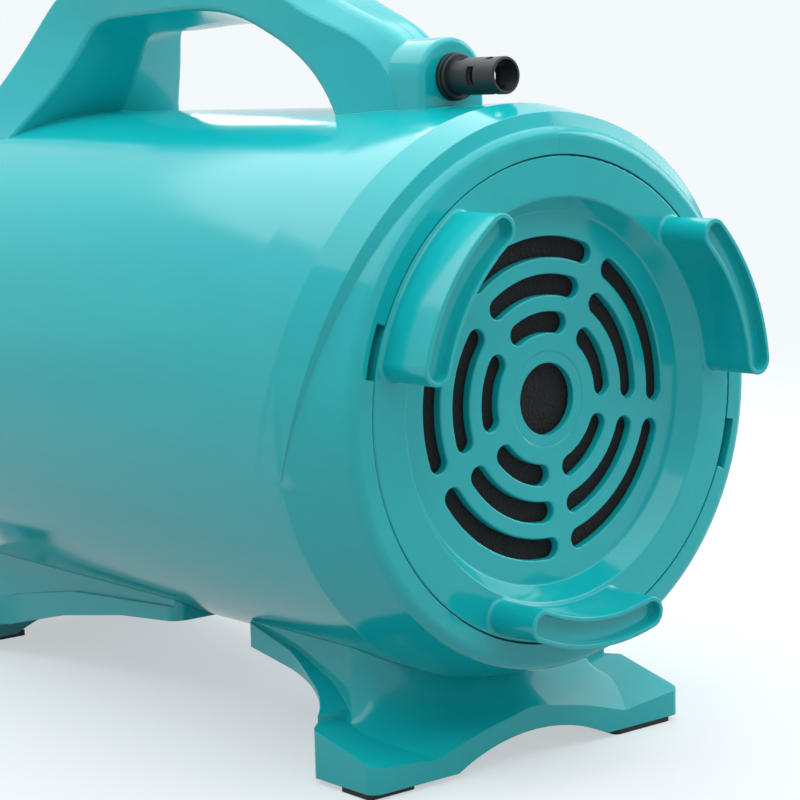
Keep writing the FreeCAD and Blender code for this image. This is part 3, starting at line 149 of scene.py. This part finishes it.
# Filter foam: open-cell polyurethane, cut as a disc
# The foam lies on the filter grid behind the cover's slots. Its cut face is a mat of broken cell walls
# about a millimetre across, dull black. A few threads are painted paler, as painted highlights where they
# catch the light.
foam_low, foam_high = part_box("filter_foam")
foam_radius = (foam_high.y - foam_low.y) / 2
joints = {joint["name"]: joint for joint in frame["joints"]}
axis_height = joints["cover_twist"]["pos_m"][2]
foam_cell_mm = 1.1
foam_edge_mm = 1.2
foam_dent_mm = 0.5
foam_dish = 0.97
foam_rings = 54
foam_spokes = 264
cell_pit_mm = 0.5
thread_highlight_contrast = (0.5, 0.72)


def cut_foam(name, colours, cell_mm):
    """Dull foam with round cells, and threads half a cell wide in the second colour, as painted
    highlights.
    """
    material, tree, place = blank_material(name)
    cells = node_in(tree, "ShaderNodeTexVoronoi", {"feature": "F1"}, links={"Vector": place}, inputs={
        "Scale": 1 / (cell_mm * mm), "Randomness": 1.0})
    threads = node_in(tree, "ShaderNodeTexNoise", links={"Vector": place}, inputs={
        "Scale": 2.2 / (cell_mm * mm), "Detail": 3.0, "Roughness": 0.7})
    # The paler second colour on the threads is a painted highlight.
    thread_highlight = node_in(tree, "ShaderNodeMapRange", links={"Value": threads.outputs["Fac"]}, inputs={
        "From Min": thread_highlight_contrast[0], "From Max": thread_highlight_contrast[1]})
    mixed = node_in(tree, "ShaderNodeMix", {"data_type": "RGBA"}, links={0: thread_highlight.outputs[0]}, inputs={
        6: linear(colours[0]), 7: linear(colours[1])})
    depth = {"Strength": 0.9, "Distance": cell_pit_mm * mm}
    bump = node_in(tree, "ShaderNodeBump", inputs=depth, links={"Height": cells.outputs["Distance"]})
    shader = node_in(tree, "ShaderNodeBsdfPrincipled", inputs={"Roughness": 0.85, "IOR": 1.45}, links={
        "Base Color": mixed.outputs[2], "Normal": bump.outputs["Normal"]})
    node_in(tree, "ShaderNodeOutputMaterial", links={"Surface": shader.outputs["BSDF"]})
    return material


def foam_disc():
    """A disc with a rounded rim, whose two faces are pitted by the cells, each side by its own."""
    made = bmesh.new()
    half = (foam_high.x - foam_low.x) / 2
    middle = (foam_high.x + foam_low.x) / 2
    edge = foam_edge_mm * mm
    profile = []
    for ring in range(1, foam_rings + 1):
        radius = foam_radius * ring / foam_rings
        over = max(0.0, radius - (foam_radius - edge))
        profile.append((radius, half - edge + math.sqrt(max(0.0, edge * edge - over * over))))
    rings = []
    for side in (1, -1):
        for radius, out in profile if side > 0 else profile[::-1]:
            ring = []
            for spoke in range(foam_spokes):
                angle = math.tau * spoke / foam_spokes
                y, z = radius * math.cos(angle), radius * math.sin(angle)
                pit = abs(noise(Vector((side * 5.0, y, z)) / (foam_cell_mm * mm))) * foam_dent_mm * mm
                flat = 1.0 if radius < foam_radius - edge else 0.0
                ring.append(made.verts.new((middle + side * (out - pit * flat), y, z + axis_height)))
            rings.append(ring)
    for inner, outer in zip(rings, rings[1:]):
        for spoke in range(foam_spokes):
            after = (spoke + 1) % foam_spokes
            made.faces.new((inner[spoke], outer[spoke], outer[after], inner[after]))
    for ring, side in ((rings[0], 1), (rings[-1], -1)):
        centre = made.verts.new((middle + side * half * foam_dish, 0.0, axis_height))
        for spoke in range(foam_spokes):
            after = (spoke + 1) % foam_spokes
            wedge = (centre, ring[spoke], ring[after])
            made.faces.new(wedge if side > 0 else wedge[::-1])
    bmesh.ops.recalc_face_normals(made, faces=made.faces)
    mesh = bpy.data.meshes.new("filter_foam_cut")
    made.to_mesh(mesh)
    made.free()
    for face in mesh.polygons:
        face.use_smooth = True
    return mesh


foam = bpy.data.objects.new("filter_foam_cut", foam_disc())
bpy.context.scene.collection.objects.link(foam)
foam.data.materials.append(
    cut_foam("black_polyurethane_foam_cut", colours=("#050607", "#161C22"), cell_mm=foam_cell_mm))
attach(foam, "cover")
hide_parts("filter_foam")

# Acoustic liner: open-cell foam, die-cut and rolled
# A thick sleeve of grey foam between the motor and the barrel. It shows the same broken cells, larger,
# with the same paler threads as painted highlights.
finish_nodes(cut_foam("grey_polyurethane_foam_cut", colours=("#5A5C60", "#84878B"), cell_mm=2.0),
             "acoustic_liner")

# Strain relief, motor rings and foot pads: moulded soft PVC, and cut rubber sheet
# The relief is pushed through the boss and holds with its collar. Spark erosion of the mould gives it a
# matt, slightly dusty skin. The pads are glued into the feet.
dust_patch_mm = 14
dust_contrast = (0.4, 0.75)
small_edge_mm = 0.25


def eroded_skin(name, colours, roughness, grain_mm, depth_mm, ior=1.5):
    """A skin with the mould's or the sheet's grain, under thin dust in patches of the second colour."""
    material, tree, place = blank_material(name)
    patches = node_in(tree, "ShaderNodeTexNoise", links={"Vector": place}, inputs={
        "Scale": 1 / (dust_patch_mm * mm), "Detail": 4.0, "Roughness": 0.6})
    dust = node_in(tree, "ShaderNodeMapRange", links={"Value": patches.outputs["Fac"]}, inputs={
        "From Min": dust_contrast[0], "From Max": dust_contrast[1]})
    mixed = node_in(tree, "ShaderNodeMix", {"data_type": "RGBA"}, links={0: dust.outputs[0]}, inputs={
        6: linear(colours[0]), 7: linear(colours[1])})
    dulled = node_in(tree, "ShaderNodeMapRange", links={"Value": patches.outputs["Fac"]}, inputs={
        "From Min": 0.35, "From Max": 0.75, "To Min": roughness - 0.05, "To Max": roughness + 0.1})
    grain = node_in(tree, "ShaderNodeTexNoise", links={"Vector": place}, inputs={
        "Scale": 1 / (grain_mm * mm), "Detail": 2.0})
    edge = node_in(tree, "ShaderNodeBevel", {"samples": 4}, inputs={"Radius": small_edge_mm * mm})
    depth = {"Strength": 0.6, "Distance": depth_mm * mm}
    bump = node_in(tree, "ShaderNodeBump", inputs=depth, links={
        "Height": grain.outputs["Fac"], "Normal": edge.outputs["Normal"]})
    shader = node_in(tree, "ShaderNodeBsdfPrincipled", inputs={"IOR": ior}, links={
        "Base Color": mixed.outputs[2], "Roughness": dulled.outputs[0], "Normal": bump.outputs["Normal"]})
    node_in(tree, "ShaderNodeOutputMaterial", links={"Surface": shader.outputs["BSDF"]})
    return material


soft_pvc = eroded_skin("black_soft_pvc_moulded", colours=("#15191D", "#23292F"), roughness=0.5,
                       grain_mm=0.35, depth_mm=0.03)
finish_nodes(soft_pvc, "strain_relief", "motor_ring_front", "motor_ring_rear")
pad_rubber = eroded_skin("black_rubber_sheet", colours=("#0C0E10", "#1A1D20"), roughness=0.7,
                         grain_mm=0.6, depth_mm=0.05)
for corner in ("rear_left", "rear_right", "front_left", "front_right"):
    finish_nodes(pad_rubber, "foot_pad_" + corner)

# Nose cap, outlet collar, control panel and inner mouldings: glass-filled nylon and ABS, textured
# These are black and come from etched moulds, so their skin is an even fine leather grain, low in gloss.
# Only the two rockers, of polycarbonate, come from a polished mould.
panel_abs = eroded_skin("black_abs_etched_grain", colours=("#111316", "#1B1E21"), roughness=0.42,
                        grain_mm=0.5, depth_mm=0.04)
finish_nodes(panel_abs, "nose_cap", "outlet_collar", "control_panel", "power_switch", "heat_switch",
             "speed_knob", "filter_grid")
inner_nylon = eroded_skin("black_glass_filled_nylon", colours=("#16181A", "#26282B"), roughness=0.55,
                          grain_mm=0.9, depth_mm=0.05)
finish_nodes(inner_nylon, "cord_clamp", "brush_bracket", "bulkhead", "motor_spider", "speed_pot", "triac",
             "thermal_cutout")
gloss_rocker = eroded_skin("black_polycarbonate_gloss", colours=("#0A0B0C", "#101214"), roughness=0.16,
                           grain_mm=1.5, depth_mm=0.006, ior=1.58)
finish_nodes(gloss_rocker, "power_rocker", "heat_rocker")

# Printed marks: white two-part ink, pad-printed
# A ring of dots round the speed knob, which grow with the speed. The ink is a twentieth of a millimetre
# thick, matt, and a little uneven in tone.
ink_thickness_mm = 0.05
dot_count = 11
dot_ring_mm = 13.55
dot_smallest_mm = 0.22
dot_growth_mm = 0.022
dot_sides = 20
panel_face_mm = 0.3
knob_axis = joints["knob_turn"]
out_way = -Vector(knob_axis["axis"]).normalized()
across_way = Vector((0.0, 1.0, 0.0))
up_way = across_way.cross(out_way).normalized()
if up_way.z < 0:
    up_way = -up_way
knob_centre = Vector(knob_axis["pos_m"])
ink = eroded_skin("white_pad_print_ink", colours=("#E4E6E6", "#D5D8D8"), roughness=0.5,
                  grain_mm=0.3, depth_mm=0.01)


def printed(name, outlines, origin, out, upward, body):
    """A thin raised print from flat outlines (across, up), in metres, on a face through origin."""
    sideways = upward.cross(out).normalized()
    made = bmesh.new()
    for outline in outlines:
        lower = [made.verts.new(origin + sideways * a + upward * b) for a, b in outline]
        upper = [made.verts.new(v.co + out * ink_thickness_mm * mm) for v in lower]
        made.faces.new(upper)
        made.faces.new(lower[::-1])
        for side in range(len(lower)):
            after = (side + 1) % len(lower)
            made.faces.new((lower[side], lower[after], upper[after], upper[side]))
    bmesh.ops.recalc_face_normals(made, faces=made.faces)
    mesh = bpy.data.meshes.new(name)
    made.to_mesh(mesh)
    made.free()
    mesh.materials.append(ink)
    print_piece = bpy.data.objects.new(name, mesh)
    bpy.context.scene.collection.objects.link(print_piece)
    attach(print_piece, body)
    return print_piece


def disc(across, upward, radius):
    """A dot's outline on the panel, in metres from the knob's axis."""
    steps = [math.tau * side / dot_sides for side in range(dot_sides)]
    return [(across + radius * math.cos(step), upward + radius * math.sin(step)) for step in steps]


first_angle, last_angle = [math.radians(limit) for limit in knob_axis["range_deg"]]
dots = []
for number in range(dot_count):
    angle = first_angle + (last_angle - first_angle) * number / (dot_count - 1)
    ring_radius = dot_ring_mm * mm
    dot_radius = (dot_smallest_mm + dot_growth_mm * number) * mm
    dots.append(disc(ring_radius * math.sin(angle), ring_radius * math.cos(angle), dot_radius))
printed("dial_dots", dots, knob_centre + out_way * panel_face_mm * mm, out_way, up_way, "casing")

# Screws, guard, shaft, shields and springs: steel, zinc plated
# Bright zinc with a faint blue, clouded by the plating bath, and fine drawing marks along the piece.
cloud_contrast = (0.3, 0.7)


def worked_metal(name, colours, roughness, cloud_mm, mark_mm, depth_mm):
    """A metal whose tone and gloss cloud over cloud_mm, with tool or mould marks as long as mark_mm."""
    material, tree, place = blank_material(name)
    cloud = node_in(tree, "ShaderNodeTexNoise", links={"Vector": place}, inputs={
        "Scale": 1 / (cloud_mm * mm), "Detail": 4.0, "Roughness": 0.55})
    mixed = node_in(tree, "ShaderNodeMix", {"data_type": "RGBA"}, links={0: cloud.outputs["Fac"]}, inputs={
        6: linear(colours[0]), 7: linear(colours[1])})
    gloss = node_in(tree, "ShaderNodeMapRange", links={"Value": cloud.outputs["Fac"]}, inputs={
        "From Min": cloud_contrast[0], "From Max": cloud_contrast[1],
        "To Min": roughness - 0.06, "To Max": roughness + 0.08})
    stretch = node_in(tree, "ShaderNodeMapping", links={"Vector": place}, inputs={
        "Scale": [1 / (length * mm) for length in mark_mm]})
    marks = node_in(tree, "ShaderNodeTexNoise", links={"Vector": stretch.outputs["Vector"]}, inputs={
        "Scale": 1.0, "Detail": 2.0})
    depth = {"Strength": 0.5, "Distance": depth_mm * mm}
    bump = node_in(tree, "ShaderNodeBump", inputs=depth, links={"Height": marks.outputs["Fac"]})
    shader = node_in(tree, "ShaderNodeBsdfPrincipled", inputs={"Metallic": 1.0}, links={
        "Base Color": mixed.outputs[2], "Roughness": gloss.outputs[0], "Normal": bump.outputs["Normal"]})
    node_in(tree, "ShaderNodeOutputMaterial", links={"Surface": shader.outputs["BSDF"]})
    return material


zinc = worked_metal("steel_bright_zinc_plated", colours=("#9DA3AA", "#C9CCD0"), roughness=0.3,
                    cloud_mm=6, mark_mm=(6, 0.4, 0.4), depth_mm=0.01)
finish_nodes(zinc, "housing_screws", "foot_screws", "clamp_screws", "outlet_guard", "motor_can",
             "rotor_shaft", "bearing_front", "bearing_rear", "pot_nut", "pot_shaft", "heater_shield",
             "brush_springs")

# Impellers, diffuser, motor frame and heat sink: aluminium, pressure die-cast
# The cast skin is pale grey and softly rough, with a trace of flow from the gate.
cast = worked_metal("aluminium_die_cast", colours=("#9C9FA4", "#C3C5C8"), roughness=0.45,
                    cloud_mm=9, mark_mm=(1.2, 1.2, 1.2), depth_mm=0.04)
finish_nodes(cast, "impeller_1", "impeller_2", "diffuser", "motor_frame", "heat_sink")

# Stator and rotor cores: electrical steel, punched and stacked
# Half-millimetre sheets lie across the shaft, blue-grey from annealing. The edges show as fine rings.
sheet_mm = 0.5
sheet_colours = ("#5B626B", "#8D9196")
sheet_cloud_mm = 8
sheet_step_mm = 0.08
wave_period = math.tau / 20


def stacked_sheets():
    """High and low sheets in turn. At scale 1 a wave texture repeats every wave_period."""
    material, tree, place = blank_material("electrical_steel_stacked")
    layers = node_in(tree, "ShaderNodeTexWave", {"wave_type": "BANDS", "bands_direction": "X"},
                     links={"Vector": place}, inputs={"Scale": wave_period / (2 * sheet_mm * mm)})
    cloud = node_in(tree, "ShaderNodeTexNoise", links={"Vector": place}, inputs={
        "Scale": 1 / (sheet_cloud_mm * mm)})
    mixed = node_in(tree, "ShaderNodeMix", {"data_type": "RGBA"}, links={0: cloud.outputs["Fac"]}, inputs={
        6: linear(sheet_colours[0]), 7: linear(sheet_colours[1])})
    depth = {"Strength": 0.8, "Distance": sheet_step_mm * mm}
    bump = node_in(tree, "ShaderNodeBump", inputs=depth, links={"Height": layers.outputs["Fac"]})
    shader = node_in(tree, "ShaderNodeBsdfPrincipled", inputs={"Metallic": 1.0, "Roughness": 0.4}, links={
        "Base Color": mixed.outputs[2], "Normal": bump.outputs["Normal"]})
    node_in(tree, "ShaderNodeOutputMaterial", links={"Surface": shader.outputs["BSDF"]})
    return material


finish_nodes(stacked_sheets(), "stator_core", "rotor_core")

# Field and rotor coils, heating coils: enamelled copper wire, and oxidised resistance wire
# The wires lie side by side, so each bundle is ribbed by the wire's thickness. The enamel is clear amber
# over copper, and the heating wire is dull grey-brown from its first firing. The gaps between the wires
# are darkened in the first colour as painted shade.
wire_relief = 0.3


def wound_wire(name, colours, wire_mm, direction, roughness):
    """A metal ribbed every wire_mm: painted shade in the first colour between the wires, the second on
    them.
    """
    material, tree, place = blank_material(name)
    turns_and_painted_shade = node_in(tree, "ShaderNodeTexWave", {"wave_type": "BANDS", "bands_direction": direction},
                    links={"Vector": place},
                    inputs={"Scale": wave_period / (wire_mm * mm), "Distortion": 0.6})
    # The wave's low bands give painted shade between the turns, and its high bands give the wire's own
    # colour.
    mixed = node_in(tree, "ShaderNodeMix", {"data_type": "RGBA"}, links={0: turns_and_painted_shade.outputs["Fac"]}, inputs={
        6: linear(colours[0]), 7: linear(colours[1])})
    depth = {"Strength": 1.0, "Distance": wire_relief * wire_mm * mm}
    bump = node_in(tree, "ShaderNodeBump", inputs=depth, links={"Height": turns_and_painted_shade.outputs["Fac"]})
    shader = node_in(tree, "ShaderNodeBsdfPrincipled", inputs={"Metallic": 1.0, "Roughness": roughness},
                     links={"Base Color": mixed.outputs[2], "Normal": bump.outputs["Normal"]})
    node_in(tree, "ShaderNodeOutputMaterial", links={"Surface": shader.outputs["BSDF"]})
    return material


# The first colour of each wire is painted shade between the turns.
copper_wire = wound_wire("copper_wire_enamelled", colours=("#5E2C12", "#C4703A"), wire_mm=0.6,
                         direction="Y", roughness=0.28)
finish_nodes(copper_wire, "field_coils", "rotor_coils")
heating_wire = wound_wire("resistance_wire_oxidised", colours=("#3E3832", "#8B8078"), wire_mm=0.8,
                          direction="DIAGONAL", roughness=0.5)
finish_nodes(heating_wire, "heater_coils")

# Commutator, brush holders and brushes: turned copper, drawn brass and pressed carbon
# Turned copper is bright with fine rings, the brass holders are drawn, and the carbon is a dull black.
turned_copper = worked_metal("copper_turned", colours=("#A05A35", "#C9855B"), roughness=0.25,
                             cloud_mm=4, mark_mm=(0.15, 3, 3), depth_mm=0.01)
finish_nodes(turned_copper, "commutator")
drawn_brass = worked_metal("brass_drawn", colours=("#9A7A3C", "#C8A560"), roughness=0.3,
                           cloud_mm=5, mark_mm=(3, 0.3, 0.3), depth_mm=0.01)
finish_nodes(drawn_brass, "brush_holders")
pressed_carbon = eroded_skin("carbon_pressed", colours=("#1B1B1D", "#2A2A2C"), roughness=0.6,
                             grain_mm=0.3, depth_mm=0.04)
finish_nodes(pressed_carbon, "brushes")

# Heater frame: mica sheet, cut and slotted together
# Mica is split from flakes, so it is golden grey, glossy in patches, with soft dark scales.
mica = eroded_skin("mica_sheet_cut", colours=("#B4A585", "#7E7154"), roughness=0.35,
                   grain_mm=3, depth_mm=0.05, ior=1.58)
finish_nodes(mica, "heater_frame")

# Speed board: glass-epoxy circuit board
# Green solder mask over copper tracks, which stand out as slightly raised, paler lines.
mask_colours = ("#0E5A34", "#11613A")
track_colour = "#2B8A57"
track_pitch_mm = 12
track_height_mm = 0.04
track_width = 0.035


def solder_mask():
    """Tracks in the joints of a brick pattern, track_width of a pitch wide, under the mask."""
    material, tree, place = blank_material("circuit_board_green_mask")
    tracks = node_in(tree, "ShaderNodeTexBrick", {"offset": 0.5}, links={"Vector": place}, inputs={
        "Scale": 1 / (track_pitch_mm * mm), "Mortar Size": track_width, "Color1": linear(mask_colours[0]),
        "Color2": linear(mask_colours[1]), "Mortar": linear(track_colour)})
    depth = {"Strength": 0.6, "Distance": track_height_mm * mm}
    bump = node_in(tree, "ShaderNodeBump", inputs=depth, links={"Height": tracks.outputs["Fac"]})
    shader = node_in(tree, "ShaderNodeBsdfPrincipled", inputs={"Roughness": 0.3, "IOR": 1.5}, links={
        "Base Color": tracks.outputs["Color"], "Normal": bump.outputs["Normal"]})
    node_in(tree, "ShaderNodeOutputMaterial", links={"Surface": shader.outputs["BSDF"]})
    return material


finish_nodes(solder_mask(), "speed_board")

# Studio: a white tent with a large soft ceiling, on matt paper
# The tent is nearly white to the camera and in reflections, but weaker as diffuse light, which leaves the
# undersides dark. The ceiling's edge on the nose's side shows as the border that sweeps over the barrel.
paper_white = "#F4F9FC"
wall_light = 0.45
floor_reach = 3.0
floor_grey = "#A0A4A6"
floor_glow_near = 0.55
floor_glow_far = 1.0
floor_fade = (0.3, 1.3)
paper_fibre_mm = 1.5
paper_fibre_height_mm = 0.02


def seen_directly(tree):
    """1 for rays from the camera, from reflections and through clear parts, 0 for diffuse light."""
    path = node_in(tree, "ShaderNodeLightPath")
    first = node_in(tree, "ShaderNodeMath", {"operation": "MAXIMUM"}, links={
        0: path.outputs["Is Camera Ray"], 1: path.outputs["Is Glossy Ray"]})
    both = node_in(tree, "ShaderNodeMath", {"operation": "MAXIMUM"}, links={
        0: first.outputs[0], 1: path.outputs["Is Transmission Ray"]})
    return both.outputs[0]


world = bpy.data.worlds.new("studio")
bpy.context.scene.world = world
world.use_nodes = True
sky = world.node_tree
sky.nodes.clear()
dim = node_in(sky, "ShaderNodeBackground", inputs={"Color": linear(paper_white), "Strength": wall_light})
white = node_in(sky, "ShaderNodeBackground", inputs={"Color": linear(paper_white), "Strength": 1.0})
mix = node_in(sky, "ShaderNodeMixShader", links={
    0: seen_directly(sky), 1: dim.outputs[0], 2: white.outputs[0]})
node_in(sky, "ShaderNodeOutputWorld", links={"Surface": mix.outputs[0]})


def studio_paper():
    """Pale matt paper that takes the shadow, glows evenly away from it, and is grey to diffuse light."""
    material, tree, place = blank_material("studio_paper_matt")
    fibres = node_in(tree, "ShaderNodeTexNoise", links={"Vector": place}, inputs={
        "Scale": 1 / (paper_fibre_mm * mm), "Detail": 2.0})
    depth = {"Strength": 0.2, "Distance": paper_fibre_height_mm * mm}
    bump = node_in(tree, "ShaderNodeBump", inputs=depth, links={"Height": fibres.outputs["Fac"]})
    dull = node_in(tree, "ShaderNodeBsdfDiffuse", inputs={"Color": linear(floor_grey)}, links={
        "Normal": bump.outputs["Normal"]})
    pale = node_in(tree, "ShaderNodeBsdfDiffuse", inputs={"Color": linear(paper_white)}, links={
        "Normal": bump.outputs["Normal"]})
    glow = node_in(tree, "ShaderNodeEmission", inputs={"Color": linear(paper_white), "Strength": 1.0})
    distance = node_in(tree, "ShaderNodeVectorMath", {"operation": "LENGTH"}, links={0: place})
    fade = node_in(tree, "ShaderNodeMapRange", {"interpolation_type": "SMOOTHSTEP"}, inputs={
        "From Min": floor_fade[0], "From Max": floor_fade[1],
        "To Min": floor_glow_near, "To Max": floor_glow_far}, links={"Value": distance.outputs["Value"]})
    shown = node_in(tree, "ShaderNodeMixShader", links={
        0: fade.outputs[0], 1: pale.outputs[0], 2: glow.outputs[0]})
    surface = node_in(tree, "ShaderNodeMixShader", links={
        0: seen_directly(tree), 1: dull.outputs[0], 2: shown.outputs[0]})
    node_in(tree, "ShaderNodeOutputMaterial", links={"Surface": surface.outputs[0]})
    return material


floor_mesh = bpy.data.meshes.new("floor")
floor_corners = [(x * floor_reach, y * floor_reach, 0) for x, y in ((-1, -1), (1, -1), (1, 1), (-1, 1))]
floor_mesh.from_pydata(floor_corners, [], [(0, 1, 2, 3)])
floor_mesh.materials.append(studio_paper())
floor = bpy.data.objects.new("floor", floor_mesh)
bpy.context.scene.collection.objects.link(floor)


def soft_lamp(name, place, aim, size, watts):
    """A rectangular softbox, in metres, that faces the point aim."""
    data = bpy.data.lights.new(name, "AREA")
    data.shape = "RECTANGLE"
    data.size, data.size_y = size
    data.energy = watts
    lamp = bpy.data.objects.new(name, data)
    bpy.context.scene.collection.objects.link(lamp)
    lamp.location = place
    lamp.rotation_mode = "QUATERNION"
    lamp.rotation_quaternion = (Vector(aim) - Vector(place)).to_track_quat("-Z", "Y")


soft_lamp("ceiling_softbox", place=(-0.1, -0.05, 1.2), aim=(-0.1, -0.05, 0.0), size=(2.6, 2.2), watts=28)
soft_lamp("right_wall_softbox", place=(0.6, 1.4, 0.75), aim=(0.15, 0.0, 0.12), size=(0.9, 0.9), watts=8)
soft_lamp("nose_side_strip", place=(-1.5, 0.9, 0.95), aim=(0.1, 0.0, 0.2), size=(0.12, 0.6), watts=1.3)

bpy.context.scene.view_settings.view_transform = "Standard"
